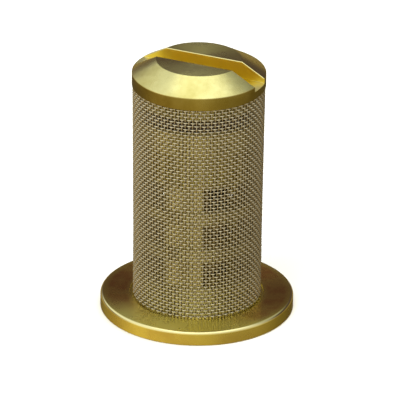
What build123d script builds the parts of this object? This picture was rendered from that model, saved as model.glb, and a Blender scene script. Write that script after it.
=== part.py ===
"""Flanged check-valve strainer of an oil burner nozzle, in millimetres.

The origin is the centre of the flange's underside, and +Z points up the strainer's axis to the screw cap.
Oil passes the screen, the windows of the body and the gap round the outlet tube, turns over the tube's
top, pushes the ball off its seal against the spring, and leaves through the flange.
"""
from math import cos, radians, sin, sqrt
import os

from build123d import *

# Driving sizes of the outside
flange_radius = 7.5
flange_height = 1.11
flange_edge_radius = 0.23
foot_recess_radius = 5.20
foot_recess_depth = 0.14
cap_radius = 5.153
cap_underside_z = 18.64
cap_edge_z = 19.67
cap_top_z = 20.72
cap_top_radius = 3.30
slot_width = 1.8
slot_floor_z = 19.47
slot_tilt = 2.0
slot_angle = -24.0

# Screen: a straight tube up to the flare, then opening slightly towards the cap
screen_foot_z = 1.0
screen_flare_z = 6.5
screen_radius = 5.00
screen_top_radius = 5.12
screen_thickness = 0.2
seam_half_angle = 10.0
seam_thickness = 0.06

# Body shell: lands that guide the screen, window rows between them, flutes below the thread
body_top_z = 16.53
land_radius = 4.76
land_edge = 0.14
shell_radius = 4.56
shell_bore_radius = 3.0
shell_floor_z = 2.0
window_rows = [(3.67, 5.60), (6.82, 8.75), (9.97, 11.81)]
pillar_half_width = 1.5
pillar_angle = -13.5
flute_foot_z = 12.21
flute_top_z = 14.66
flute_count = 28
flute_width = 0.68
flute_root_radius = 3.95
flute_first_angle = -79.8

# Screw cap's stem, its thread and the gasket under its skirt
thread_major_radius = 3.46
thread_minor_radius = 3.06
thread_pitch = 0.75
thread_bore_radius = 3.55
thread_bore_floor_z = 13.9
stem_foot_z = 14.2
neck_radius = 3.0
skirt_radius = 4.84
skirt_foot_z = 17.52
gasket_outer_radius = 4.5
gasket_inner_radius = 3.1

# Outlet tube, valve seat, seal, ball and spring
tube_outer_radius = 2.3
tube_bore_radius = 1.75
tube_foot_z = 0.3
tube_top_z = 9.8
spring_seat_z = 1.2
outlet_radius = 1.2
seat_foot_z = 8.6
seat_top_z = 11.8
seat_hole_radius = 0.9
seal_radius = 1.45
seal_thickness = 0.5
seal_face_radius = 1.35
ball_radius = 1.5
ball_gap = 0.02
spring_mean_radius = 1.25
spring_wire_radius = 0.1
active_coils = 6


def ring(outer_radius, inner_radius, foot_z, top_z, mode=Mode.ADD):
    """Add or cut a ring, or a disc where the inner radius is 0, in the part that is being built."""
    with BuildSketch(Plane.XY.offset(foot_z)) as section:
        Circle(outer_radius)
        if inner_radius:
            Circle(inner_radius, mode=Mode.SUBTRACT)
    extrude(section.sketch, amount=top_z - foot_z, mode=mode)


def turned(*outline, mode=Mode.ADD):
    """Add or cut the closed (radius, z) outline, turned round the Z axis."""
    with BuildSketch(Plane.XZ) as section:
        with BuildLine():
            Polyline(*outline, close=True)
        make_face()
    revolve(section.sketch, axis=Axis.Z, mode=mode)


# Flanged body, turned from one bar, bored, and milled from two sides
land_spans = [
    (flange_height - 3 * land_edge, window_rows[0][0]),
    (window_rows[0][1], window_rows[1][0]),
    (window_rows[1][1], window_rows[2][0]),
    (window_rows[2][1], body_top_z),
]
underside_chamfer = 0.05
mill_reach = land_radius + 1.0

with BuildPart() as flanged_body:
    ring(flange_radius, 0, 0, flange_height)
    fillet(flanged_body.edges().sort_by(Axis.Z)[-1], radius=flange_edge_radius)
    chamfer(flanged_body.edges().sort_by(Axis.Z)[0], length=underside_chamfer)
    ring(foot_recess_radius, 0, flange_height - foot_recess_depth, flange_height, mode=Mode.SUBTRACT)
    ring(shell_radius, 0, flange_height - foot_recess_depth, body_top_z)
    for land_foot_z, land_top_z in land_spans:
        turned(
            (0, land_foot_z),
            (shell_radius, land_foot_z),
            (land_radius, land_foot_z + land_edge),
            (land_radius, land_top_z - land_edge),
            (shell_radius, land_top_z),
            (0, land_top_z),
        )
    ring(shell_bore_radius, 0, shell_floor_z, body_top_z, mode=Mode.SUBTRACT)
    ring(thread_bore_radius, 0, thread_bore_floor_z, body_top_z, mode=Mode.SUBTRACT)
    ring(tube_outer_radius, 0, 0, shell_floor_z, mode=Mode.SUBTRACT)
    turned(
        (thread_bore_radius - land_edge, body_top_z - 2 * land_edge),
        (thread_bore_radius + land_edge, body_top_z),
        (thread_bore_radius - land_edge, body_top_z),
        mode=Mode.SUBTRACT,
    )
    for window_foot_z, window_top_z in window_rows:
        with BuildSketch(Plane.XY.offset(window_foot_z).rotated((0, 0, pillar_angle))):
            mill_centre = (pillar_half_width + mill_reach) / 2
            with Locations((mill_centre, 0), (-mill_centre, 0)):
                Rectangle(mill_reach - pillar_half_width, 2 * mill_reach)
        extrude(amount=window_top_z - window_foot_z, mode=Mode.SUBTRACT)
    with BuildSketch(Plane.XY.offset(flute_foot_z)):
        with PolarLocations((flute_root_radius + mill_reach) / 2, flute_count, start_angle=flute_first_angle):
            Rectangle(mill_reach - flute_root_radius, flute_width)
    extrude(amount=flute_top_z - flute_foot_z, mode=Mode.SUBTRACT)
flanged_body.part.label = "flanged_body"

# Outlet tube, pressed into the flange, with an inner lip that carries the spring
tube_chamfer = 0.15
with BuildPart() as outlet_tube:
    turned(
        (outlet_radius + tube_chamfer, tube_foot_z),
        (tube_outer_radius - tube_chamfer, tube_foot_z),
        (tube_outer_radius, tube_foot_z + tube_chamfer),
        (tube_outer_radius, tube_top_z),
        (tube_bore_radius, tube_top_z),
        (tube_bore_radius, spring_seat_z),
        (outlet_radius, spring_seat_z),
        (outlet_radius, tube_foot_z + tube_chamfer),
    )
outlet_tube.part.label = "outlet_tube"

# Valve seat: a hollow plug in the tube's mouth with a head that rests on the tube's rim
seal_top_z = seat_foot_z + seal_thickness
seat_chamfer = 0.2
mouth_radius = 1.5
mouth_depth = 0.8
with BuildPart() as valve_seat:
    turned(
        (seal_radius, seat_foot_z),
        (tube_bore_radius, seat_foot_z),
        (tube_bore_radius, tube_top_z),
        (tube_outer_radius, tube_top_z),
        (tube_outer_radius, seat_top_z - seat_chamfer),
        (tube_outer_radius - seat_chamfer, seat_top_z),
        (mouth_radius, seat_top_z),
        (seat_hole_radius, seat_top_z - mouth_depth),
        (seat_hole_radius, seal_top_z),
        (seal_radius, seal_top_z),
    )
valve_seat.part.label = "valve_seat"

# Seat seal: a soft ring in the plug's recess, with a 45 degree face for the ball
seal_bevel = seal_face_radius - seat_hole_radius
with BuildPart() as seat_seal:
    turned(
        (seal_face_radius, seat_foot_z),
        (seal_radius, seat_foot_z),
        (seal_radius, seal_top_z),
        (seat_hole_radius, seal_top_z),
        (seat_hole_radius, seat_foot_z + seal_bevel),
    )
seat_seal.part.label = "seat_seal"

# Check ball, a hair below the seal's face: on a 45 degree face it touches at radius r * sin(45)
touch_radius = ball_radius * sin(radians(45))
touch_z = seat_foot_z + seal_face_radius - touch_radius
ball_z = touch_z - ball_radius * cos(radians(45)) - ball_gap
with BuildPart() as check_ball:
    with Locations((0, 0, ball_z)):
        Sphere(ball_radius)
check_ball.part.label = "check_ball"

# Check spring: one closed coil at each end, and its wire ground flat where it stands and where it pushes
wire_reach = ball_radius + spring_wire_radius + ball_gap
top_wire_z = ball_z - sqrt(wire_reach**2 - spring_mean_radius**2)
closed_pitch = 2 * spring_wire_radius
spring_foot_z = spring_seat_z + spring_wire_radius / 2
active_foot_z = spring_foot_z + closed_pitch
active_top_z = top_wire_z - closed_pitch
with BuildPart() as check_spring:
    coil_runs = [
        (spring_foot_z, active_foot_z, closed_pitch),
        (active_foot_z, active_top_z, (active_top_z - active_foot_z) / active_coils),
        (active_top_z, top_wire_z, closed_pitch),
    ]
    for run_foot_z, run_top_z, run_pitch in coil_runs:
        with BuildLine():
            coil = Helix(run_pitch, run_top_z - run_foot_z, spring_mean_radius, center=(0, 0, run_foot_z))
        with BuildSketch(Plane(origin=coil @ 0, z_dir=coil % 0)):
            Circle(spring_wire_radius)
        sweep(path=coil, is_frenet=True)
    with Locations((spring_mean_radius, 0, active_foot_z), (spring_mean_radius, 0, active_top_z)):
        Sphere(spring_wire_radius)
    split(bisect_by=Plane.XY.offset(spring_seat_z), keep=Keep.TOP)
check_spring.part.label = "check_spring"

# Cap gasket between the body's top and the cap's skirt
with BuildPart() as cap_gasket:
    ring(gasket_outer_radius, gasket_inner_radius, body_top_z, skirt_foot_z)
    fillet(cap_gasket.edges().filter_by(GeomType.CIRCLE).sort_by(SortBy.RADIUS)[-2:], radius=0.25)
cap_gasket.part.label = "cap_gasket"

# Slotted screw cap: coned head over the screen, skirt inside it, neck and threaded stem
thread_depth = thread_major_radius - thread_minor_radius
thread_root_half = 0.34
thread_crest_half = 0.06
stem_chamfer = 0.3
thread_top_z = body_top_z - 0.1
with BuildPart() as slotted_cap:
    # Thread: a ridge on a helix, started and ended outside the envelope that trims it
    with BuildLine():
        helix_height = thread_top_z - stem_foot_z + 2 * thread_pitch
        ridge_path = Helix(
            thread_pitch,
            helix_height,
            thread_minor_radius,
            center=(0, 0, stem_foot_z - thread_pitch),
        )
    with BuildSketch(Plane(origin=ridge_path @ 0, x_dir=(1, 0, 0), z_dir=ridge_path % 0)):
        with BuildLine():
            Polyline(
                (-0.05, -thread_root_half),
                (thread_depth, -thread_crest_half),
                (thread_depth, thread_crest_half),
                (-0.05, thread_root_half),
                close=True,
            )
        make_face()
    sweep(path=ridge_path, is_frenet=True)
    ring(thread_minor_radius, 0, stem_foot_z - thread_pitch, thread_top_z + thread_pitch)
    turned(
        (0, stem_foot_z),
        (thread_minor_radius - stem_chamfer / 2, stem_foot_z),
        (thread_major_radius + 0.1, stem_foot_z + stem_chamfer + thread_depth),
        (thread_major_radius + 0.1, thread_top_z - thread_depth),
        (thread_minor_radius, thread_top_z),
        (0, thread_top_z),
        mode=Mode.INTERSECT,
    )
    # Neck, skirt and coned head
    turned(
        (0, thread_top_z - 0.2),
        (neck_radius, thread_top_z - 0.2),
        (neck_radius, skirt_foot_z),
        (skirt_radius - land_edge, skirt_foot_z),
        (skirt_radius, skirt_foot_z + land_edge),
        (skirt_radius, cap_underside_z),
        (cap_radius, cap_underside_z),
        (cap_radius, cap_edge_z),
        (cap_top_radius, cap_top_z),
        (0, cap_top_z),
    )
    with BuildSketch(Plane.XY.offset(slot_floor_z).rotated((0, slot_tilt, slot_angle))):
        Rectangle(3 * cap_radius, slot_width)
    extrude(amount=cap_top_z - slot_floor_z + 1, mode=Mode.SUBTRACT)
slotted_cap.part.label = "slotted_cap"

# Screen: the woven cloth as a plain tube of its own thickness, and the soldered lap along its back
cloth_line = [
    (screen_radius, screen_foot_z),
    (screen_radius, screen_flare_z),
    (screen_top_radius, cap_underside_z),
]
with BuildPart() as screen_cloth:
    turned(*cloth_line, *[(radius - screen_thickness, z) for radius, z in reversed(cloth_line)])
screen_cloth.part.label = "screen_cloth"

with BuildPart() as screen_seam:
    with BuildSketch(Plane.XZ.rotated((0, 0, 90 - seam_half_angle))):
        with BuildLine():
            Polyline(
                *cloth_line,
                *[(radius + seam_thickness, z) for radius, z in reversed(cloth_line)],
                close=True,
            )
        make_face()
    revolve(axis=Axis.Z, revolution_arc=2 * seam_half_angle)
screen_seam.part.label = "screen_seam"

os.makedirs("parts", exist_ok=True)
sub_parts = [
    flanged_body,
    outlet_tube,
    valve_seat,
    seat_seal,
    check_ball,
    check_spring,
    cap_gasket,
    slotted_cap,
    screen_cloth,
    screen_seam,
]
for sub_part in sub_parts:
    export_step(sub_part.part, f"parts/{sub_part.part.label}.step")
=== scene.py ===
"""Looks of the flanged check-valve strainer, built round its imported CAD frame, in metres."""
import math

import bpy
import numpy as np
from mathutils import Matrix, Vector

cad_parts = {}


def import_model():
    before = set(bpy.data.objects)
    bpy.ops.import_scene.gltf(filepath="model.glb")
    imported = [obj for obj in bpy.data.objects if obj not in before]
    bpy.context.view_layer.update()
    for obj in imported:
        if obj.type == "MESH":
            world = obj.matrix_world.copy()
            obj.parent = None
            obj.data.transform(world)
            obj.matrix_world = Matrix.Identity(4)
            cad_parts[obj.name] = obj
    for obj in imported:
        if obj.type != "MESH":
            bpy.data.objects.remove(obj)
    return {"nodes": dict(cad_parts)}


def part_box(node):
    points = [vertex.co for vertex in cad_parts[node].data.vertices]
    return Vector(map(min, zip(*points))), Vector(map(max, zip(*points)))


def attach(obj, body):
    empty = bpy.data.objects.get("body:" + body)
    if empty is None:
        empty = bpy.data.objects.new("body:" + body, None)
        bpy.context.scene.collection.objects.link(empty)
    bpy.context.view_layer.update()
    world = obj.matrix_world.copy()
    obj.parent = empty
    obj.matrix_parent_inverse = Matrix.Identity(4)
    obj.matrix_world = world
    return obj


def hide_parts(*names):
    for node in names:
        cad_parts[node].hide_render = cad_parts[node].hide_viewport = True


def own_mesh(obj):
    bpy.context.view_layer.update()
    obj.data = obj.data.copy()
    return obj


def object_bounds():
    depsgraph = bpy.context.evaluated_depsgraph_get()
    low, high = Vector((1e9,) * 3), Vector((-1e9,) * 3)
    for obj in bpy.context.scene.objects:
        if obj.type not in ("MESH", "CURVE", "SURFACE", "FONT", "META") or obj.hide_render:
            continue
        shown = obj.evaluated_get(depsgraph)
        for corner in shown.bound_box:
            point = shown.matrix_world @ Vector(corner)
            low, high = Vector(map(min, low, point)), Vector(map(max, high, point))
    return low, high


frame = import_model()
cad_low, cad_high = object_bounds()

MM = 0.001


# ---------------------------------------------------------------- node graphs
class Graph:
    """The node tree of a material or a world. Each method adds nodes and returns the socket they end in."""

    def __init__(self, owner):
        owner.use_nodes = True
        self.nodes = owner.node_tree.nodes
        self.links = owner.node_tree.links
        self.shader = self.nodes.get("Principled BSDF")

    def add(self, kind, **settings):
        """A new shader node of the kind with its settings: returns the node itself."""
        node = self.nodes.new("ShaderNode" + kind)
        for name, value in settings.items():
            setattr(node, name, value)
        return node

    def feed(self, target, value):
        """Gives an input its value: another socket is linked, and anything else is set on it."""
        if isinstance(value, bpy.types.NodeSocket):
            self.links.new(value, target)
        elif target.type == "RGBA":
            target.default_value = (*value, 1.0)
        else:
            target.default_value = value

    def shade(self, name, value):
        """Gives one of the shader's inputs its value."""
        self.feed(self.shader.inputs[name], value)

    def shaded(self, name):
        """The socket that feeds one of the shader's inputs so far."""
        return self.shader.inputs[name].links[0].from_socket

    def noise(self, source, scale, detail=4.0, roughness=0.55):
        """A noise texture read at the source vector, scale in cycles per metre."""
        node = self.add("TexNoise")
        self.feed(node.inputs["Vector"], source)
        self.feed(node.inputs["Scale"], scale)
        self.feed(node.inputs["Detail"], detail)
        self.feed(node.inputs["Roughness"], roughness)
        return node.outputs["Fac"]

    def ramp(self, source, stops):
        """A colour ramp of (position, colour) stops."""
        node = self.add("ValToRGB")
        elements = node.color_ramp.elements
        while len(elements) < len(stops):
            elements.new(0.5)
        for element, (position, colour) in zip(elements, stops):
            element.position = position
            element.color = (*colour, 1.0)
        self.feed(node.inputs["Fac"], source)
        return node.outputs["Color"]

    def calculated(self, operation, first, second=None):
        """A math node on one or two values, each a socket or a number."""
        node = self.add("Math", operation=operation)
        self.feed(node.inputs[0], first)
        if second is not None:
            self.feed(node.inputs[1], second)
        return node.outputs["Value"]

    def product(self, first, *others):
        """The first value times all the others."""
        for other in others:
            first = self.calculated("MULTIPLY", first, other)
        return first

    def mapped(self, source, low, high, to_low, to_high):
        """The source value taken linearly from low..high to to_low..to_high, clamped."""
        node = self.add("MapRange")
        names = ("Value", "From Min", "From Max", "To Min", "To Max")
        for name, value in zip(names, (source, low, high, to_low, to_high)):
            self.feed(node.inputs[name], value)
        return node.outputs["Result"]

    def rise(self, distance, start, end, most=1.0):
        """Rises from 0 where the distance is start to most where it is end, both in mm, and is clamped."""
        return self.mapped(distance, start * MM, end * MM, 0.0, most)

    def bump(self, height, distance):
        """A bump of the height value, distance in metres, on top of the shader's bumps so far."""
        node = self.add("Bump")
        self.feed(node.inputs["Distance"], distance)
        self.feed(node.inputs["Strength"], 1.0)
        self.feed(node.inputs["Height"], height)
        if self.shader.inputs["Normal"].links:
            self.feed(node.inputs["Normal"], self.shaded("Normal"))
        self.shade("Normal", node.outputs["Normal"])

    def separated(self, vector):
        """The x, y and z of a vector: returns three sockets."""
        node = self.add("SeparateXYZ")
        self.feed(node.inputs["Vector"], vector)
        return [node.outputs[axis] for axis in "XYZ"]

    def lathe_coordinates(self):
        """Object coordinates, and the distance from the turning axis and the height as values."""
        coordinates = self.add("TexCoord").outputs["Object"]
        x, y, z = self.separated(coordinates)
        squares = self.calculated("ADD", self.product(x, x), self.product(y, y))
        return coordinates, self.calculated("SQRT", squares), z

    def distance_along(self, coordinates, direction):
        """How far a point lies along a direction through the origin, in metres."""
        node = self.add("VectorMath", operation="DOT_PRODUCT")
        self.feed(node.inputs[0], coordinates)
        self.feed(node.inputs[1], direction)
        return node.outputs["Value"]

    def mixed(self, share, first, second, blend="MIX"):
        """The first value or colour blended with the second by the share."""
        data_type = "FLOAT" if isinstance(second, float) else "RGBA"
        node = self.add("Mix", data_type=data_type, blend_type=blend)
        self.feed(node.inputs["Factor"], share)
        self.feed(node.inputs["A"], first)
        self.feed(node.inputs["B"], second)
        return node.outputs["Result"]

    def scaled(self, colour, factor):
        """A colour times a value."""
        node = self.add("VectorMath", operation="SCALE")
        self.feed(node.inputs[0], colour)
        self.feed(node.inputs["Scale"], factor)
        return node.outputs["Vector"]


# ---------------------------------------------------------------- materials
CLOUD_SCALE, SPECK_SCALE, LINE_SCALE, WAVE_SCALE = 260.0, 2600.0, 12000.0, 520.0
STAIN_AND_SHADE_TINT = (0.70, 0.42, 0.42)
FRONT_SHEEN_BRASS, SHEEN_SIDE = (1.0, 0.92, 0.27), (-0.25, -0.97, 0.0)
WEAR_AND_HIGHLIGHT_BRASS, WORN_ROUGH = (0.96, 0.88, 0.46), 0.12
LIT_SHELL_BRASS, SHELL_ROUGH = (0.92, 0.84, 0.38), 0.32
RIM_TARNISH = (0.50, 0.42, 0.15)
PATCH_DARKENING, PATCH_SIDE = (0.42, 0.37, 0.34), (-0.82, -0.57, 0.0)
MILLED_BRASS, MILLED_ROUGH = (0.88, 0.71, 0.13), 0.30
SLOT_END_GLINT_BRASS, SLOT_END_ROUGH = (0.97, 0.90, 0.50), 0.55
LIP_WEAR_AND_HIGHLIGHT_BRASS, LIP_ROUGH = (0.86, 0.77, 0.38), 0.26


def new_material(name):
    """An empty node material: returns the material and its graph."""
    material = bpy.data.materials.new(name)
    return material, Graph(material)


def turned_brass(name, bright, dull, rough, anisotropy, line_depth, waviness):
    """Turned brass: tarnish in soft clouds and specks, fine turning lines round the Z axis that draw
    reflections out along the radius, and the slight waviness of a hand-finished face."""
    material, graph = new_material(name)
    coordinates, radius, z = graph.lathe_coordinates()
    clouds = graph.noise(coordinates, CLOUD_SCALE, detail=3.0)
    specks = graph.noise(coordinates, SPECK_SCALE, detail=5.0, roughness=0.65)
    tarnish = graph.calculated("ADD", graph.product(clouds, 0.78), graph.product(specks, 0.22))
    graph.shade("Base Color", graph.ramp(tarnish, [(0.36, dull), (0.60, bright)]))
    graph.shade("Roughness", graph.mapped(tarnish, 0.35, 0.65, rough * 1.35, rough * 0.85))
    graph.shade("Metallic", 1.0)
    graph.shade("Anisotropic", anisotropy)
    graph.shade("Anisotropic Rotation", 0.25)
    tangent = graph.add("Tangent", direction_type="RADIAL", axis="Z")
    graph.shade("Tangent", tangent.outputs["Tangent"])
    along = graph.add("CombineXYZ")
    graph.feed(along.inputs["X"], graph.calculated("ADD", radius, z))
    lines = graph.noise(along.outputs["Vector"], LINE_SCALE, detail=3.0, roughness=0.6)
    waves = graph.noise(coordinates, WAVE_SCALE, detail=2.0, roughness=0.5)
    graph.bump(waves, waviness)
    graph.bump(lines, line_depth)
    return material


def body_finish(material):
    """On the body: reddish stain blotches in a ring on the flange's top, kept to its left and right sides
    where they also paint shade; a painted reflection brightening the top's front; its upper edge painted
    paler for wear and as a painted highlight; and a duller shell under the screen, painted paler as painted
    light."""
    graph = Graph(material)
    coordinates, radius, z = graph.lathe_coordinates()
    on_top = graph.rise(z, FLANGE_TOP - 0.03, FLANGE_TOP - 0.01)
    # Reddish stain blotches, kept to the left and right of the flange's top where it is seen darker: partly
    # stain, partly painted shade.
    from_middle = graph.calculated("ABSOLUTE", graph.distance_along(coordinates, (1.0, 0.0, 0.0)))
    sides = graph.rise(from_middle, 2.5, 5.0)
    from_ring = graph.calculated("ABSOLUTE", graph.calculated("SUBTRACT", radius, STAIN_AND_SHADE_RADIUS * MM))
    ring = graph.mapped(from_ring, 1.1 * MM, 0.6 * MM, 0.15, 1.0)
    blotches = graph.mapped(graph.noise(coordinates, 700.0, detail=5.0), 0.42, 0.62, 0.6, 1.0)
    stains_and_shade = graph.product(blotches, sides, ring, on_top)
    colour = graph.mixed(stains_and_shade, graph.shaded("Base Color"), STAIN_AND_SHADE_TINT, "MULTIPLY")
    # Painted reflection: the front of the flange's top, towards the camera, is painted paler and brighter.
    front = graph.rise(graph.distance_along(coordinates, SHEEN_SIDE), 2.5, 5.5, most=0.8)
    colour = graph.mixed(graph.product(front, on_top), colour, FRONT_SHEEN_BRASS)
    # The flange's upper edge all round: wear, and a paler colour that is a painted highlight; its roughness
    # is lower too.
    rim = graph.rise(radius, FLANGE_RADIUS - 0.22, FLANGE_RADIUS - 0.14)
    wear_and_highlight = graph.product(rim, graph.rise(z, FLANGE_TOP - 0.20, FLANGE_TOP - 0.12))
    colour = graph.mixed(wear_and_highlight, colour, WEAR_AND_HIGHLIGHT_BRASS)
    # The shell under the screen is rougher, and painted paler than the flange as painted light where it
    # shows through the screen.
    shell = graph.rise(radius, LAND_RADIUS + 0.19, LAND_RADIUS + 0.09)
    graph.shade("Base Color", graph.mixed(shell, colour, LIT_SHELL_BRASS))
    rough = graph.mixed(wear_and_highlight, graph.shaded("Roughness"), WORN_ROUGH)
    graph.shade("Roughness", graph.mixed(shell, rough, SHELL_ROUGH))


def cap_finish(material):
    """On the cap: a darker, browner rim with a darker patch on its front-left, yellower milled faces in the
    slot, the slot's lips painted paler for wear and as a painted highlight, and the ends of its floor
    painted pale as a painted glint."""
    graph = Graph(material)
    coordinates, radius, z = graph.lathe_coordinates()
    on_side = graph.rise(radius, CAP_RADIUS - 0.105, CAP_RADIUS - 0.035)
    under_edge = graph.rise(z, CAP_EDGE - 0.03, CAP_EDGE - 0.09)
    blotches = graph.mapped(graph.noise(coordinates, 420.0), 0.3, 0.7, 0.65, 1.0)
    rim = graph.product(on_side, under_edge, blotches)
    colour = graph.mixed(rim, graph.shaded("Base Color"), RIM_TARNISH, "MULTIPLY")
    # A darker patch on the front-left of the rim.
    patch = graph.rise(graph.distance_along(coordinates, PATCH_SIDE), 3.0, 4.8, most=0.85)
    colour = graph.mixed(graph.product(patch, rim), colour, PATCH_DARKENING, "MULTIPLY")

    across = (-math.sin(SLOT_ANGLE), math.cos(SLOT_ANGLE), 0.0)
    from_middle = graph.calculated("ABSOLUTE", graph.distance_along(coordinates, across))
    wall = SLOT_WIDTH / 2
    in_slot = graph.rise(from_middle, wall + 0.01, wall + 0.003)
    tilt = math.sin(SLOT_TILT)
    floor_normal = (tilt * math.cos(SLOT_ANGLE), tilt * math.sin(SLOT_ANGLE), math.cos(SLOT_TILT))
    floor_height = SLOT_FLOOR * math.cos(SLOT_TILT)
    height = graph.distance_along(coordinates, floor_normal)
    milled = graph.product(in_slot, graph.rise(height, floor_height - 0.03, floor_height - 0.01))
    colour = graph.mixed(milled, colour, MILLED_BRASS)
    rough = graph.mixed(milled, graph.shaded("Roughness"), MILLED_ROUGH)

    # Painted glint: the ends of the slot's floor are painted pale and made rough so that they light up.
    on_floor = graph.rise(height, floor_height + 0.05, floor_height + 0.02)
    ends = graph.product(graph.rise(radius, 3.9, 4.7), on_floor, milled)
    colour = graph.mixed(ends, colour, SLOT_END_GLINT_BRASS)
    rough = graph.mixed(ends, rough, SLOT_END_ROUGH)
    # The slot's lips: wear, and a paler colour that is a painted highlight along the edges.
    near_slot = graph.rise(from_middle, wall + LIP_BREAK + 0.02, wall + LIP_BREAK)
    on_head = graph.rise(z, CAP_EDGE - 0.10, CAP_EDGE - 0.06)
    lips = graph.product(near_slot, on_head, graph.calculated("SUBTRACT", 1.0, in_slot))
    graph.shade("Base Color", graph.mixed(lips, colour, LIP_WEAR_AND_HIGHLIGHT_BRASS))
    graph.shade("Roughness", graph.mixed(lips, rough, LIP_ROUGH))


def wire_steel(name, bright, dull, rough):
    """Stainless wire: paler where the knuckles stand proud and darker where the wires lie deep, partly
    patina and partly painted highlight and shade, with random stains.
    """
    material, graph = new_material(name)
    coordinates, radius, _ = graph.lathe_coordinates()
    stain = graph.noise(coordinates, 900.0, detail=4.0)
    # Darker deeper in the cloth, paler on the proud knuckles: partly patina, partly painted shade and
    # highlight.
    height = graph.mapped(radius, cloth_radii[0] - PATINA_AND_SHADE_DEPTH, cloth_radii[0], 0.0, 1.0)
    level = graph.calculated("ADD", graph.product(height, 0.75), graph.product(stain, 0.35))
    graph.shade("Base Color", graph.ramp(level, [(0.25, dull), (0.85, bright)]))
    graph.shade("Roughness", graph.mapped(level, 0.2, 0.9, rough * 1.4, rough * 0.8))
    graph.shade("Metallic", 1.0)
    graph.bump(graph.noise(coordinates, 60000.0, detail=2.0), 0.0006 * MM)
    return material


def plain_steel(name, colour, rough):
    """Bright steel with faint smears."""
    material, graph = new_material(name)
    coordinates = graph.add("TexCoord").outputs["Object"]
    smears = graph.noise(coordinates, 1500.0)
    dark = tuple(0.8 * channel for channel in colour)
    graph.shade("Base Color", graph.ramp(smears, [(0.35, dark), (0.65, colour)]))
    graph.shade("Roughness", graph.mapped(smears, 0.3, 0.7, rough * 1.5, rough * 0.8))
    graph.shade("Metallic", 1.0)
    return material


def matte_soft(name, colour, rough):
    """Matte rubber or plastic with a fine dusty grain."""
    material, graph = new_material(name)
    coordinates = graph.add("TexCoord").outputs["Object"]
    dust = graph.noise(coordinates, 9000.0, detail=4.0)
    light = tuple(1.6 * channel for channel in colour)
    graph.shade("Base Color", graph.ramp(dust, [(0.4, colour), (0.75, light)]))
    graph.shade("Roughness", graph.mapped(dust, 0.3, 0.7, rough * 0.85, rough * 1.1))
    graph.bump(dust, 0.003 * MM)
    return material


body_brass = turned_brass(
    "body_brass", bright=(0.92, 0.79, 0.19), dull=(0.72, 0.55, 0.12), rough=0.23,
    anisotropy=0.85, line_depth=0.004 * MM, waviness=0.0006 * MM,
)
cap_brass = turned_brass(
    "cap_brass", bright=(0.83, 0.78, 0.37), dull=(0.66, 0.59, 0.22), rough=0.25,
    anisotropy=0.70, line_depth=0.0012 * MM, waviness=0.035 * MM,
)
tube_brass = turned_brass(
    "tube_brass", bright=(0.70, 0.56, 0.24), dull=(0.54, 0.40, 0.14), rough=0.34,
    anisotropy=0.4, line_depth=0.0004 * MM, waviness=0.001 * MM,
)
ball_steel = plain_steel("ball_steel", (0.72, 0.72, 0.73), 0.08)
spring_steel = plain_steel("spring_steel", (0.62, 0.62, 0.62), 0.25)
seam_solder = plain_steel("seam_solder", (0.52, 0.50, 0.46), 0.45)
brown_rubber = matte_soft("brown_rubber", (0.085, 0.05, 0.03), 0.62)
seal_rubber = matte_soft("seal_rubber", (0.075, 0.04, 0.026), 0.58)
black_acetal = matte_soft("black_acetal", (0.020, 0.020, 0.021), 0.60)


# ---------------------------------------------------------------- mesh helpers
SHARP_ANGLE = math.radians(32)


def new_piece(name, points, faces):
    """A mesh object from points in metres and faces, linked to the scene."""
    mesh = bpy.data.meshes.new(name)
    mesh.from_pydata([tuple(point) for point in points], [], faces)
    mesh.update()
    piece = bpy.data.objects.new(name, mesh)
    bpy.context.scene.collection.objects.link(piece)
    return piece


def apply_modifiers(piece):
    """Gives the piece the mesh that its modifiers make, and clears them."""
    bpy.context.view_layer.update()
    evaluated = piece.evaluated_get(bpy.context.evaluated_depsgraph_get())
    mesh = bpy.data.meshes.new_from_object(evaluated)
    piece.modifiers.clear()
    piece.data = mesh


def shade_smooth(piece):
    """Shades all of the piece's faces smooth."""
    piece.data.polygons.foreach_set("use_smooth", [True] * len(piece.data.polygons))


def finish_mesh(piece):
    """Applies the piece's modifiers, then shades it smooth with its sharp edges kept."""
    apply_modifiers(piece)
    shade_smooth(piece)
    piece.data.set_sharp_from_angle(angle=SHARP_ANGLE)


def weigh_normals(piece):
    """Shades large faces by their own normal, so that small rounds don't bend the light on them."""
    normals = piece.modifiers.new("normals", "WEIGHTED_NORMAL")
    normals.mode = "FACE_AREA"
    normals.weight = 100
    normals.keep_sharp = True
    apply_modifiers(piece)


def dress(piece, material, body, slot, *nodes):
    """Gives the piece its material and body, and hides the CAD nodes that it stands for. The slot is not
    used.
    """
    piece.data.materials.clear()
    piece.data.materials.append(material)
    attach(piece, body)
    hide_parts(*nodes)


def node_box(node):
    """The low and high corner of a CAD node's box, in mm."""
    return [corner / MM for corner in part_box(node)]


def unit(vectors):
    """The vectors scaled to length one."""
    return vectors / np.linalg.norm(vectors, axis=-1, keepdims=True)


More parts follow.
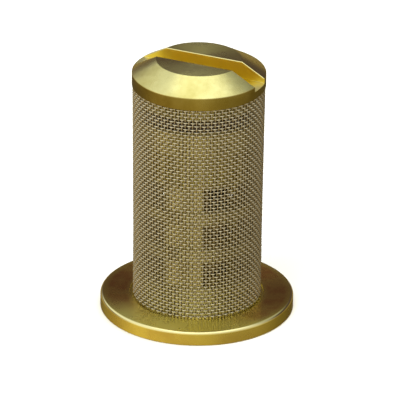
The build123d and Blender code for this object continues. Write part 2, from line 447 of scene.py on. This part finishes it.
def rounded(outline, radius, steps=4, closed=True):
    """The (radius, z) outline in mm with each corner replaced by a small arc."""
    points = [np.array(point, float) for point in outline]
    count = len(points)
    result = []
    for index, corner in enumerate(points):
        if not closed and index in (0, count - 1):
            result.append(corner)
            continue
        before = points[index - 1] - corner
        after = points[(index + 1) % count] - corner
        reach_before, reach_after = np.linalg.norm(before), np.linalg.norm(after)
        before, after = before / reach_before, after / reach_after
        half = math.acos(np.clip(before @ after, -1, 1)) / 2
        if half > math.radians(85):
            result.append(corner)
            continue
        cut = min(radius / math.tan(half), 0.4 * reach_before, 0.4 * reach_after)
        arc_radius = cut * math.tan(half)
        middle = (before + after) / np.linalg.norm(before + after)
        centre = corner + middle * arc_radius / math.sin(half)
        first, last = corner + before * cut - centre, corner + after * cut - centre
        sweep = math.pi - 2 * half
        for step in range(steps + 1):
            share = step / steps
            weights = (math.sin((1 - share) * sweep), math.sin(share * sweep))
            result.append(centre + (weights[0] * first + weights[1] * last) / math.sin(sweep))
    return np.array(result)


def turned(name, outline, segments=192, closed=True, relief=None):
    """A turned mesh from the (radius, z) outline in mm: a ring where the outline is closed, or a solid
    whose outline starts and ends on the axis. relief(radius, z, angles) gives the radii of one round."""
    angles = np.linspace(0, 2 * math.pi, segments, endpoint=False)
    points, rounds = [], []
    for radius, z in outline:
        if radius < 1e-9:
            rounds.append([len(points)])
            points.append((0.0, 0.0, z * MM))
            continue
        radii = radius + 0 * angles if relief is None else relief(radius, z, angles)
        rounds.append(list(range(len(points), len(points) + segments)))
        points += zip(radii * np.cos(angles) * MM, radii * np.sin(angles) * MM, [z * MM] * segments)
    faces = []
    for low, high in zip(rounds, rounds[1:] + rounds[:1] if closed else rounds[1:]):
        for index in range(segments):
            following = (index + 1) % segments
            corners = [low[index % len(low)], low[following % len(low)],
                       high[following % len(high)], high[index % len(high)]]
            faces.append(tuple(dict.fromkeys(corners)))
    return new_piece(name, points, faces)


def box_cutter(low, high, turn):
    """Corner points and outward faces of a box in mm, moved by the turn matrix."""
    corners = [(x, y, z) for x in (low[0], high[0]) for y in (low[1], high[1]) for z in (low[2], high[2])]
    points = [turn @ Vector(corner) * MM for corner in corners]
    faces = [(0, 1, 3, 2), (4, 6, 7, 5), (0, 4, 5, 1), (2, 3, 7, 6), (0, 2, 6, 4), (1, 5, 7, 3)]
    return points, faces


def mill(piece, cutters, edge_break=0.0):
    """Cuts the closed shapes (points, faces) from the piece and breaks the edges that they leave."""
    points, faces = [], []
    for cutter_points, cutter_faces in cutters:
        faces += [tuple(index + len(points) for index in face) for face in cutter_faces]
        points += cutter_points
    cutter = new_piece(piece.name + "_cutter", points, faces)
    cut = piece.modifiers.new("cut", "BOOLEAN")
    cut.operation = "DIFFERENCE"
    cut.solver = "EXACT"
    cut.object = cutter
    if edge_break:
        edges = piece.modifiers.new("edges", "BEVEL")
        edges.limit_method = "ANGLE"
        edges.angle_limit = SHARP_ANGLE
        edges.width = edge_break * MM
        edges.segments = 1
    finish_mesh(piece)
    bpy.data.objects.remove(cutter)


def thread_height(z, angles, z_start, pitch):
    """Height of a right-hand thread's ridge, 0 at the root to 1 at the crest, at the height z."""
    turn = ((z - z_start) / pitch - angles / (2 * math.pi)) % 1.0
    off_ridge = np.abs(np.where(turn > 0.5, turn - 1.0, turn)) * pitch
    return np.clip((THREAD_ROOT_HALF - off_ridge) / (THREAD_ROOT_HALF - THREAD_CREST_HALF), 0.0, 1.0)


def wire_rings(centres, outward, sideways, wire_radius, sides):
    """Rings of points round wires. centres, outward and sideways are (wires, points, 3) arrays, and the
    last two span each ring: returns a (wires, points, sides, 3) array."""
    turns = np.linspace(0, 2 * math.pi, sides, endpoint=False)[:, None]
    reach = np.cos(turns) * outward[:, :, None] + np.sin(turns) * sideways[:, :, None]
    return centres[:, :, None] + wire_radius * reach


def wire_piece(name, rings, closed):
    """Round wires as one mesh, from their rings of points in metres, with caps on open ends."""
    wires, points, sides, _ = rings.shape
    index = np.arange(wires * points * sides).reshape(wires, points, sides)
    start = index if closed else index[:, :-1]
    end = np.roll(index, -1, axis=1) if closed else index[:, 1:]
    quads = np.stack([start, np.roll(start, -1, axis=2), np.roll(end, -1, axis=2), end], axis=-1)
    faces = quads.reshape(-1, 4).tolist()
    if not closed:
        faces += index[:, 0, ::-1].tolist() + index[:, -1].tolist()
    return new_piece(name, rings.reshape(-1, 3).tolist(), faces)


def strips(first, second):
    """Quads between two index arrays, each joining neighbours along their last axis."""
    corners = [first[..., :-1], second[..., :-1], second[..., 1:], first[..., 1:]]
    return np.stack(corners, axis=-1).reshape(-1, 4).tolist()


# ---------------------------------------------------------------- brass body
body_high = node_box("flanged_body")[1]
FLANGE_RADIUS, BODY_TOP = body_high.x, body_high.z
FLANGE_TOP = 1.11
FLANGE_ROUND = 0.23
STAIN_AND_SHADE_RADIUS = 6.2
RECESS_RADIUS, RECESS_DEPTH = 5.20, 0.14
LAND_RADIUS, SHELL_RADIUS, LAND_EDGE = 4.76, 4.56, 0.14
BORE_RADIUS, BORE_FLOOR = 3.0, 2.0
TUBE_RADIUS = 2.3
WINDOW_ROWS = [(3.67, 5.60), (6.82, 8.75), (9.97, 11.81)]
PILLAR_HALF_WIDTH, PILLAR_ANGLE = 1.5, math.radians(-13.5)
FLUTE_SPAN = (12.21, 14.66)
FLUTE_COUNT, FLUTE_WIDTH, FLUTE_ROOT = 28, 0.68, 3.95
FLUTE_ANGLE = math.radians(-79.8)
THREAD_PITCH, THREAD_START = 0.75, 14.2
THREAD_MINOR, THREAD_MAJOR = 3.06, 3.46
THREAD_ROOT_HALF, THREAD_CREST_HALF = 0.34, 0.06
THREAD_ROW = THREAD_PITCH / 12
FEMALE_BORE, FEMALE_FLOOR, FEMALE_DEPTH = 3.55, 13.9, 0.14
EDGE_BREAK = 0.025


def flange_outline():
    """The flange's outside from the bore for the tube to the foot of the shell."""
    arc = [math.radians(angle) for angle in range(0, 91, 10)]
    centre = (FLANGE_RADIUS - FLANGE_ROUND, FLANGE_TOP - FLANGE_ROUND)
    points = [(TUBE_RADIUS, 0.0), (FLANGE_RADIUS - 0.05, 0.0), (FLANGE_RADIUS, 0.05)]
    points += [(centre[0] + FLANGE_ROUND * math.cos(a), centre[1] + FLANGE_ROUND * math.sin(a)) for a in arc]
    points += [(RECESS_RADIUS + 0.03, FLANGE_TOP), (RECESS_RADIUS, FLANGE_TOP - 0.03)]
    return points + [(RECESS_RADIUS, FLANGE_TOP - RECESS_DEPTH), (LAND_RADIUS, FLANGE_TOP - RECESS_DEPTH)]


def shell_outline():
    """The shell's outside: a land between each pair of window rows."""
    points = []
    for foot, top in WINDOW_ROWS:
        points += [(LAND_RADIUS, foot - LAND_EDGE), (SHELL_RADIUS, foot)]
        points += [(SHELL_RADIUS, top), (LAND_RADIUS, top + LAND_EDGE)]
    return points + [(LAND_RADIUS, BODY_TOP - LAND_EDGE), (SHELL_RADIUS, BODY_TOP)]


def bore_outline():
    """The bore from its mouth down: thread rows, the shoulder under them and the floor."""
    mouth = BODY_TOP - LAND_EDGE
    rows = np.arange(mouth, FEMALE_FLOOR, -THREAD_ROW)
    points = [(FEMALE_BORE + LAND_EDGE, BODY_TOP)] + [(FEMALE_BORE, z) for z in rows]
    points += [(FEMALE_BORE, FEMALE_FLOOR), (BORE_RADIUS, FEMALE_FLOOR)]
    return points + [(BORE_RADIUS, BORE_FLOOR), (TUBE_RADIUS, BORE_FLOOR)]


def female_thread(radius, z, angles):
    """The bore's wall with the thread's groove cut outwards, run out at both ends."""
    if abs(radius - FEMALE_BORE) > 1e-6:
        return radius + 0 * angles
    levels = (FEMALE_FLOOR + 0.1, FEMALE_FLOOR + 0.4, BODY_TOP - 0.4, BODY_TOP - LAND_EDGE)
    depth = FEMALE_DEPTH * np.interp(z, levels, (0, 1, 1, 0.3))
    return radius + depth * thread_height(z, angles, THREAD_START, THREAD_PITCH)


def body_cutters():
    """The mill's boxes: two sides of each window row, and the flutes."""
    boxes = []
    reach = LAND_RADIUS + 1.0
    for foot, top in WINDOW_ROWS:
        for turn in (PILLAR_ANGLE, PILLAR_ANGLE + math.pi):
            turn_matrix = Matrix.Rotation(turn, 3, "Z")
            boxes.append(box_cutter((PILLAR_HALF_WIDTH, -reach, foot), (reach, reach, top), turn_matrix))
    for number in range(FLUTE_COUNT):
        turn_matrix = Matrix.Rotation(FLUTE_ANGLE + 2 * math.pi * number / FLUTE_COUNT, 3, "Z")
        low = (FLUTE_ROOT, -FLUTE_WIDTH / 2, FLUTE_SPAN[0])
        boxes.append(box_cutter(low, (reach, FLUTE_WIDTH / 2, FLUTE_SPAN[1]), turn_matrix))
    return boxes


body = turned("body_turned", flange_outline() + shell_outline() + bore_outline(), relief=female_thread)
mill(body, body_cutters(), EDGE_BREAK)
weigh_normals(body)
body_finish(body_brass)
dress(body, body_brass, "core", "body_brass", "flanged_body")


# ---------------------------------------------------------------- slotted cap
cap_low, cap_high = node_box("slotted_cap")
CAP_RADIUS, CAP_TOP, STEM_FOOT = cap_high.x, cap_high.z, cap_low.z
CAP_UNDERSIDE, CAP_EDGE, CAP_FLAT_RADIUS = 18.64, 19.67, 3.30
SKIRT_RADIUS, SKIRT_FOOT, NECK_RADIUS = 4.84, 17.52, 3.0
THREAD_TOP = BODY_TOP - 0.1
LEAD_IN_LENGTH, RUN_OUT_LENGTH = 0.7, 0.4
SLOT_WIDTH, SLOT_FLOOR = 1.8, 19.47
SLOT_ANGLE, SLOT_TILT = math.radians(-24), math.radians(2)
HEAD_ROUND, LIP_BREAK = 0.05, 0.05


def male_thread(radius, z, angles):
    """The stem's wall with the thread's ridge, trimmed by the lead-in cones at both ends."""
    if abs(radius - THREAD_MINOR) > 1e-6 or z > THREAD_TOP:
        return radius + 0 * angles
    depth = THREAD_MAJOR - THREAD_MINOR
    ridge = THREAD_MINOR + depth * thread_height(z, angles, THREAD_START, THREAD_PITCH)
    levels = (STEM_FOOT, STEM_FOOT + LEAD_IN_LENGTH, THREAD_TOP - RUN_OUT_LENGTH, THREAD_TOP)
    clear = THREAD_MAJOR + 0.1
    return np.minimum(ridge, np.interp(z, levels, (THREAD_MINOR - 0.15, clear, clear, THREAD_MINOR)))


def cap_outline():
    """The cap from the middle of the stem's foot to the middle of its top."""
    rows = np.arange(STEM_FOOT, THREAD_TOP, THREAD_ROW)
    stem = [(0.0, STEM_FOOT)] + [(THREAD_MINOR, z) for z in rows] + [(THREAD_MINOR, THREAD_TOP)]
    head = [
        (NECK_RADIUS, THREAD_TOP),
        (NECK_RADIUS, SKIRT_FOOT),
        (SKIRT_RADIUS - LAND_EDGE, SKIRT_FOOT),
        (SKIRT_RADIUS, SKIRT_FOOT + LAND_EDGE),
        (SKIRT_RADIUS, CAP_UNDERSIDE),
        (CAP_RADIUS, CAP_UNDERSIDE),
        (CAP_RADIUS, CAP_EDGE),
        (CAP_FLAT_RADIUS, CAP_TOP),
        (0.0, CAP_TOP),
    ]
    return stem + [tuple(point) for point in rounded(head, HEAD_ROUND, closed=False)]


def slot_cutter():
    """The tilted slot right across the cap, its lips broken at 45 degrees: points and outward faces."""
    half, clear = SLOT_WIDTH / 2, 0.3
    along = Vector((math.cos(SLOT_ANGLE), math.sin(SLOT_ANGLE), 0))
    across = Vector((-along.y, along.x, 0))
    corner = math.sqrt(CAP_FLAT_RADIUS ** 2 - half ** 2)
    stations = sorted([-corner, corner, *np.linspace(-1.2, 1.2, 41) * CAP_RADIUS])
    points, faces = [], []
    for station in stations:
        floor_z = SLOT_FLOOR - station * math.tan(SLOT_TILT)
        surface = np.interp(math.hypot(station, half), (CAP_FLAT_RADIUS, CAP_RADIUS), (CAP_TOP, CAP_EDGE))
        lip = max(surface - LIP_BREAK, floor_z + 0.01)
        profile = [(half, floor_z), (half, lip), (half + clear, lip + clear)]
        profile += [(-side, z) for side, z in reversed(profile)]
        points += [(along * station + across * side + Vector((0, 0, z))) * MM for side, z in profile]
    size = len(profile)
    for start in range(0, len(points) - size, size):
        for this in range(size):
            after = (this + 1) % size
            faces.append((start + this, start + after, start + size + after, start + size + this))
    last = len(points) - size
    faces += [tuple(reversed(range(size))), tuple(range(last, last + size))]
    return points, faces


cap = turned("cap_turned", cap_outline(), segments=256, closed=False, relief=male_thread)
mill(cap, [slot_cutter()])
weigh_normals(cap)
cap_finish(cap_brass)
dress(cap, cap_brass, "cap", "cap_brass", "slotted_cap")


# ---------------------------------------------------------------- valve parts and gasket
TUBE_BORE, TUBE_CHAMFER = 1.75, 0.15
OUTLET_RADIUS, SPRING_SEAT = 1.2, 1.2
SEAT_HOLE, SEAT_MOUTH, MOUTH_DEPTH, SEAT_CHAMFER = 0.9, 1.5, 0.8, 0.2
SEAL_FACE = 1.35
GASKET_INNER = 3.1
SPRING_MEAN, SPRING_WIRE, SPRING_COILS = 1.25, 0.1, 6
SPRING_POINTS_PER_TURN, SPRING_SIDES = 48, 14
MACHINED_EDGE, MOULDED_EDGE = 0.03, 0.25
tube_low, tube_high = node_box("outlet_tube")
seat_low, seat_high = node_box("valve_seat")
seal_low, seal_high = node_box("seat_seal")
gasket_low, gasket_high = node_box("cap_gasket")


def turned_part(name, outline, edge, material, body_name, slot, node):
    """A plain turned ring with rounded edges that stands for one CAD node."""
    piece = turned(name, rounded(outline, edge))
    finish_mesh(piece)
    weigh_normals(piece)
    dress(piece, material, body_name, slot, node)


def ground_ball():
    """The check ball, turned from a fine arc."""
    low, high = node_box("check_ball")
    centre, radius = (low.z + high.z) / 2, (high.z - low.z) / 2
    latitudes = np.linspace(-math.pi / 2, math.pi / 2, 65)
    outline = [(radius * math.cos(angle), centre + radius * math.sin(angle)) for angle in latitudes]
    outline[0], outline[-1] = (0.0, low.z), (0.0, high.z)
    piece = turned("ball_ground", outline, segments=128, closed=False)
    finish_mesh(piece)
    dress(piece, ball_steel, "ball", "ball_steel", "check_ball")


def wound_spring():
    """The check spring: closed end coils, open active coils and ends cut flat."""
    low, high = node_box("check_spring")
    foot, top = low.z + SPRING_WIRE / 2, high.z - SPRING_WIRE
    last_turn = SPRING_COILS + 2
    turns = np.linspace(0, last_turn, last_turn * SPRING_POINTS_PER_TURN + 1)
    levels = (foot, foot + 2 * SPRING_WIRE, top - 2 * SPRING_WIRE, top)
    heights = np.interp(turns, (0, 1, last_turn - 1, last_turn), levels)
    angle = 2 * math.pi * turns
    centres = np.stack([SPRING_MEAN * np.cos(angle), SPRING_MEAN * np.sin(angle), heights], axis=-1)
    tangents = unit(np.gradient(centres, axis=0))
    outward = np.stack([np.cos(angle), np.sin(angle), 0 * angle], axis=-1)
    upward = np.cross(tangents, outward)
    rings = wire_rings(centres[None], outward[None], upward[None], SPRING_WIRE, SPRING_SIDES)
    rings[..., 2] = np.clip(rings[..., 2], low.z, high.z)
    piece = wire_piece("spring_wound", rings * MM, closed=False)
    finish_mesh(piece)
    dress(piece, spring_steel, "core", "spring_steel", "check_spring")
    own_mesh(piece)


turned_part("tube_turned", [
    (OUTLET_RADIUS + TUBE_CHAMFER, tube_low.z),
    (TUBE_RADIUS - TUBE_CHAMFER, tube_low.z),
    (TUBE_RADIUS, tube_low.z + TUBE_CHAMFER),
    (TUBE_RADIUS, tube_high.z),
    (TUBE_BORE, tube_high.z),
    (TUBE_BORE, SPRING_SEAT),
    (OUTLET_RADIUS, SPRING_SEAT),
    (OUTLET_RADIUS, tube_low.z + TUBE_CHAMFER),
], MACHINED_EDGE, tube_brass, "core", "tube_brass", "outlet_tube")
turned_part("seat_turned", [
    (seal_high.x, seat_low.z),
    (TUBE_BORE, seat_low.z),
    (TUBE_BORE, tube_high.z),
    (TUBE_RADIUS, tube_high.z),
    (TUBE_RADIUS, seat_high.z - SEAT_CHAMFER),
    (TUBE_RADIUS - SEAT_CHAMFER, seat_high.z),
    (SEAT_MOUTH, seat_high.z),
    (SEAT_HOLE, seat_high.z - MOUTH_DEPTH),
    (SEAT_HOLE, seal_high.z),
    (seal_high.x, seal_high.z),
], MACHINED_EDGE, black_acetal, "core", "black_acetal", "valve_seat")
turned_part("seal_moulded", [
    (SEAL_FACE, seal_low.z),
    (seal_high.x, seal_low.z),
    (seal_high.x, seal_high.z),
    (SEAT_HOLE, seal_high.z),
    (SEAT_HOLE, seal_low.z + SEAL_FACE - SEAT_HOLE),
], MACHINED_EDGE, seal_rubber, "core", "seal_rubber", "seat_seal")
turned_part("gasket_moulded", [
    (GASKET_INNER, gasket_low.z),
    (gasket_high.x, gasket_low.z),
    (gasket_high.x, gasket_high.z),
    (GASKET_INNER, gasket_high.z),
], MOULDED_EDGE, brown_rubber, "gasket", "brown_rubber", "cap_gasket")
ground_ball()
wound_spring()


# ---------------------------------------------------------------- woven screen
cloth_low, cloth_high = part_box("screen_cloth")
cloth_points = [vertex.co for vertex in frame["nodes"]["screen_cloth"].data.vertices]
cloth_levels = sorted({round(point.z, 6) for point in cloth_points})
cloth_radii = [
    max(math.hypot(point.x, point.y) for point in cloth_points if abs(point.z - level) < 0.01 * MM)
    for level in cloth_levels
]
WIRE_RADIUS = 0.055 * MM
WARP_CRIMP = 0.045 * MM
WEFT_CRIMP = 2 * WIRE_RADIUS - WARP_CRIMP
WARP_COUNT, WEFT_COUNT = 110, 69
FIRST_WEFT_Z = cloth_low.z + 0.20 * MM
LAST_WEFT_Z = cloth_high.z - 0.10 * MM
WEFT_PITCH = (LAST_WEFT_Z - FIRST_WEFT_Z) / (WEFT_COUNT - 1)
WIRE_SIDES = 6
POINTS_PER_CROSSING = 4
WANDER = 0.014 * MM
PATINA_AND_SHADE_DEPTH = 0.16 * MM
SEAM_HALF_ANGLE = math.radians(9.2)
SEAM_THICKNESS, SEAM_SKIN = 0.06 * MM, 0.03 * MM
SEAM_COLUMNS, SEAM_ROWS_PER_PITCH = 37, 6
EDGE_WANDER, EDGE_WAVE = 0.012, 3 * MM
UPWARD = np.array([0, 0, 1])
chance = np.random.default_rng(20)


def mean_radius(z):
    """Radius of the middle of the cloth at the height z: the CAD cloth's outside less half the weave."""
    return np.interp(z, cloth_levels, cloth_radii) - WEFT_CRIMP - WIRE_RADIUS


def wander(count, along, turns):
    """Slow sideways wander of each wire, in metres: a few waves of whole turns along it, from the seed."""
    phases = chance.uniform(0, 2 * math.pi, (count, len(turns)))
    sizes = chance.normal(0, WANDER / math.sqrt(len(turns)), (count, len(turns)))
    waves = [size[:, None] * np.sin(turn * along + phase[:, None])
             for turn, size, phase in zip(turns, sizes.T, phases.T)]
    return sum(waves)


def radial_and_around(angle):
    """Unit vectors away from the axis and round it at the angles: two arrays with a last axis of three."""
    radial = np.stack([np.cos(angle), np.sin(angle), 0 * angle], axis=-1)
    return radial, np.stack([-np.sin(angle), np.cos(angle), 0 * angle], axis=-1)


def warp_wires(name, numbers):
    """Lengthwise wires, from the foot of the cloth to its top, weaving over and under the hoops."""
    span = cloth_high.z - cloth_low.z
    points = int(round(span / WEFT_PITCH * POINTS_PER_CROSSING)) + 1
    z = np.linspace(cloth_low.z, cloth_high.z, points)[None, :]
    along = 2 * math.pi * (z - cloth_low.z) / span
    angle = (2 * math.pi * numbers / WARP_COUNT)[:, None]
    angle = angle + wander(len(numbers), along, (1, 2, 3, 7)) / cloth_radii[0]
    phase = math.pi * ((z - FIRST_WEFT_Z) / WEFT_PITCH + numbers[:, None])
    radius = mean_radius(z) + WARP_CRIMP * np.cos(phase)
    slope = -WARP_CRIMP * math.pi / WEFT_PITCH * np.sin(phase)
    radial, around = radial_and_around(angle)
    centres = radius[..., None] * radial + (z + 0 * angle)[..., None] * UPWARD
    tangents = unit(slope[..., None] * radial + UPWARD)
    rings = wire_rings(centres, np.cross(around, tangents), around, WIRE_RADIUS, WIRE_SIDES)
    return wire_piece(name, rings, closed=False)


def weft_wires(name, numbers):
    """Hoop wires round the cloth, weaving over and under the lengthwise ones."""
    angle = np.linspace(0, 2 * math.pi, WARP_COUNT * POINTS_PER_CROSSING, endpoint=False)[None, :]
    z = (FIRST_WEFT_Z + WEFT_PITCH * numbers)[:, None] + wander(len(numbers), angle, (2, 3, 5, 11))
    phase = WARP_COUNT / 2 * angle + math.pi * numbers[:, None]
    radius = mean_radius(z) - WEFT_CRIMP * np.cos(phase)
    slope = WEFT_CRIMP * WARP_COUNT / 2 * np.sin(phase)
    radial, around = radial_and_around(angle + 0 * z)
    centres = radius[..., None] * radial + z[..., None] * UPWARD
    tangents = unit(slope[..., None] * radial + radius[..., None] * around)
    sideways = np.zeros_like(centres) + UPWARD
    rings = wire_rings(centres, np.cross(sideways, tangents), sideways, WIRE_RADIUS, WIRE_SIDES)
    return wire_piece(name, rings, closed=True)


def woven_cloth(direction, weave, count, steel):
    """One direction's wires as two pieces that stand for the CAD cloth."""
    for half, numbers in enumerate(np.array_split(np.arange(count), 2), start=1):
        piece = weave(f"screen_{direction}_{half}", numbers)
        shade_smooth(piece)
        dress(piece, steel, "screen", "screen_steel", "screen_cloth")


def soldered_seam():
    """The soldered lap along the back: a thin skin that follows the weave, with wandering edges."""
    rows = (WEFT_COUNT - 1) * SEAM_ROWS_PER_PITCH + 1
    across = np.linspace(-1, 1, SEAM_COLUMNS)[:, None]
    z = np.linspace(cloth_low.z, cloth_high.z, rows)[None, :]
    left, right = chance.uniform(0, 2 * math.pi, (2, 4, 1, 1))
    reach = sum(
        EDGE_WANDER * np.sin(turn * math.pi * z / EDGE_WAVE + phase)
        for turn, phase in zip((1, 2.3, 4.1, 7.7), np.where(across < 0, left, right))
    )
    angle = math.pi / 2 + across * SEAM_HALF_ANGLE * (1 + reach)
    warp_phase = angle * WARP_COUNT / 2
    weft_phase = math.pi * (z - FIRST_WEFT_Z) / WEFT_PITCH
    # The solder follows the knuckles of the weave and has slow thick and thin spots.
    knuckles = np.abs(np.cos(warp_phase) * np.cos(weft_phase))
    flow = 0.5 + 0.25 * np.sin(2.1 * z / MM + 3 * across) + 0.25 * np.sin(5.3 * z / MM - 4 * across)
    relief = (0.30 + 0.45 * knuckles + 0.25 * flow) * (1 - np.abs(across) ** 5)
    cloth = np.interp(z, cloth_levels, cloth_radii)
    radial = radial_and_around(angle)[0]
    layers = [
        radius[..., None] * radial + (z + 0 * angle)[..., None] * UPWARD
        for radius in (cloth + SEAM_THICKNESS * relief, cloth - SEAM_SKIN + 0 * angle)
    ]
    out, back = np.arange(2 * SEAM_COLUMNS * rows).reshape(2, SEAM_COLUMNS, rows)
    faces = strips(out[:-1], out[1:]) + strips(back.T[:-1], back.T[1:])
    faces += strips(out[:, 0], back[:, 0]) + strips(back[:, -1], out[:, -1])
    faces += strips(back[0], out[0]) + strips(out[-1], back[-1])
    piece = new_piece("seam_soldered", np.concatenate(layers).reshape(-1, 3), faces)
    finish_mesh(piece)
    dress(piece, seam_solder, "screen", "seam_solder", "screen_seam")


# Painted light: warps and wefts are the same steel, with the warps painted darker as shade and the wefts
# paler as highlight.
shaded_warp_steel = wire_steel("shaded_warp_steel", (0.54, 0.48, 0.37), (0.46, 0.40, 0.27), 0.42)
lit_weft_steel = wire_steel("lit_weft_steel", (0.71, 0.67, 0.55), (0.51, 0.46, 0.33), 0.32)
woven_cloth("warp", warp_wires, WARP_COUNT, shaded_warp_steel)
woven_cloth("weft", weft_wires, WEFT_COUNT, lit_weft_steel)
soldered_seam()


# ---------------------------------------------------------------- stage
FLOOR_HALF, FLOOR_GAP = 3.0, 0.01 * MM
LENS, SENSOR = 551.4, 36.0
CAMERA_DISTANCE = 472.6 * MM
CAMERA_ELEVATION, CAMERA_ROLL = math.radians(24.634), math.radians(0.606)
AIM_HEIGHT, AIM_RIGHT, AIM_DOWN = 10 * MM, 0.172 * MM, 1.030 * MM
BACK_SKY = [
    (0.00, (0.40, 0.29, 0.10)),
    (0.14, (0.11, 0.075, 0.07)),
    (0.44, (0.10, 0.07, 0.07)),
    (0.52, (0.17, 0.15, 0.12)),
    (0.62, (0.46, 0.46, 0.40)),
    (0.80, (0.56, 0.57, 0.51)),
    (0.94, (1.85, 1.87, 1.70)),
]
FRONT_SKY = [
    (0.00, (0.86, 0.78, 0.58)),
    (0.45, (0.92, 0.87, 0.72)),
    (0.92, (1.50, 1.52, 1.38)),
]
WINDOW = (0.90, 0.91, 0.84)
TABLE = (1.0, 0.76, 0.31)


def floor():
    """A wide pale floor with a seamless matte finish."""
    half = FLOOR_HALF
    corners = [(-half, -half, 0), (half, -half, 0), (half, half, 0), (-half, half, 0)]
    piece = new_piece("floor", corners, [(0, 1, 2, 3)])
    piece.location.z = cad_low.z - FLOOR_GAP
    material, graph = new_material("floor_pale")
    graph.shade("Base Color", (0.86, 0.86, 0.85))
    graph.shade("Roughness", 0.9)
    piece.data.materials.append(material)
    piece.visible_glossy = False


def round_light(name, direction, distance, size, radiance):
    """A round soft light that looks at the middle of the object."""
    light = bpy.data.lights.new(name, "AREA")
    light.shape = "DISK"
    light.size = size
    light.energy = radiance * math.pi * math.pi * (size / 2) ** 2
    lamp = bpy.data.objects.new(name, light)
    bpy.context.scene.collection.objects.link(lamp)
    towards = Vector(direction).normalized()
    lamp.location = (cad_low + cad_high) / 2 + towards * distance
    lamp.rotation_mode = "QUATERNION"
    lamp.rotation_quaternion = towards.to_track_quat("Z", "Y")
    lamp.visible_glossy = False


def camera():
    """The camera: a long lens, 25 degrees above the horizon, with a slight roll."""
    lens = bpy.data.cameras.new("camera")
    lens.lens = LENS
    lens.sensor_width = SENSOR
    lens.clip_start = 0.01
    lens.clip_end = 20.0
    piece = bpy.data.objects.new("camera", lens)
    bpy.context.scene.collection.objects.link(piece)
    back = Vector((0, -math.cos(CAMERA_ELEVATION), math.sin(CAMERA_ELEVATION)))
    up = Vector((0, math.sin(CAMERA_ELEVATION), math.cos(CAMERA_ELEVATION)))
    target = Vector((0, 0, AIM_HEIGHT))
    piece.location = target + back * CAMERA_DISTANCE
    aim = target + Vector((AIM_RIGHT, 0, 0)) - up * AIM_DOWN
    look = (piece.location - aim).to_track_quat("Z", "Y")
    roll = Matrix.Rotation(CAMERA_ROLL, 4, "Z").to_quaternion()
    piece.rotation_mode = "QUATERNION"
    piece.rotation_quaternion = look @ roll
    bpy.context.scene.camera = piece


def world():
    """Soft studio surroundings: a bright ceiling, a window high on the left, a dark band round the horizon
    behind, and a warm table that is bright in front of the object and falls off behind it. A plain pale
    backdrop is what the camera sees."""
    surroundings = bpy.data.worlds.new("studio")
    graph = Graph(surroundings)
    x, y, z = graph.separated(graph.add("TexCoord").outputs["Generated"])
    frontness = graph.mapped(y, 0.35, -0.25, 0.0, 1.0)
    sky = graph.mixed(frontness, graph.ramp(z, BACK_SKY), graph.ramp(z, FRONT_SKY))
    window = graph.product(graph.mapped(x, -0.24, -0.46, 0.0, 0.9), graph.mapped(z, 0.22, 0.46, 0.05, 1.0))
    sky = graph.scaled(graph.mixed(window, sky, WINDOW), graph.mapped(x, -0.6, 0.6, 1.05, 0.72))
    falloff = graph.product(graph.mapped(y, -0.20, 0.80, 0.46, 0.15), graph.mapped(x, -0.8, 0.8, 1.52, 0.62))
    below = graph.mapped(z, -0.12, -0.30, 0.0, 1.0)
    seen_in_metal = graph.nodes["Background"]
    graph.feed(seen_in_metal.inputs["Color"], graph.mixed(below, sky, graph.scaled(TABLE, falloff)))
    seen_by_camera = graph.add("Background")
    graph.feed(seen_by_camera.inputs["Color"], (0.95, 0.95, 0.95))
    mix = graph.add("MixShader")
    graph.feed(mix.inputs["Fac"], graph.add("LightPath").outputs["Is Camera Ray"])
    graph.feed(mix.inputs[1], seen_in_metal.outputs["Background"])
    graph.feed(mix.inputs[2], seen_by_camera.outputs["Background"])
    graph.feed(graph.nodes["World Output"].inputs["Surface"], mix.outputs["Shader"])
    bpy.context.scene.world = surroundings


floor()
world()
camera()
round_light("key", (-0.55, -0.6, 1.0), 0.30, 0.22, 4.0)
round_light("top", (0.3, 0.15, 1.0), 0.30, 0.24, 4.0)
bpy.context.scene.view_settings.view_transform = "Standard"
